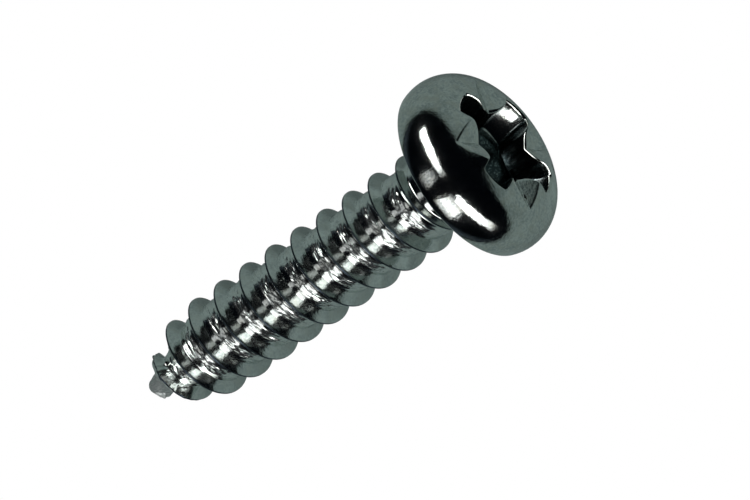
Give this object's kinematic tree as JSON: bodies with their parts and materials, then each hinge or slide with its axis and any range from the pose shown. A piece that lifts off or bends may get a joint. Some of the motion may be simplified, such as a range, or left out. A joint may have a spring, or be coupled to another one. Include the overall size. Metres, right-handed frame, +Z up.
{
  "type": "sheet metal screw",
  "caption": "Pan head self-tapping screw with a cross recess and radial marks, a coarse right-hand thread and a gimlet cone point, in bright zinc-plated steel.",
  "frame": {"origin": "middle of the box of the screw as it lies, on the surface that it lies on", "axes": "+X along the screw from point to head, level; +Z up; the axis rises towards the head by the tilt at which head rim and thread both touch the surface"},
  "size_m": [0.0178, 0.0068, 0.0068],
  "materials": {
    "zinc_plated_steel": "bright zinc plate over rolled steel, grey with a faint green cast, sharp reflections, fine pits and streaks in the thread root"
  },
  "bodies": {
    "root": {"screw": "zinc_plated_steel"}
  },
  "joints": []
}
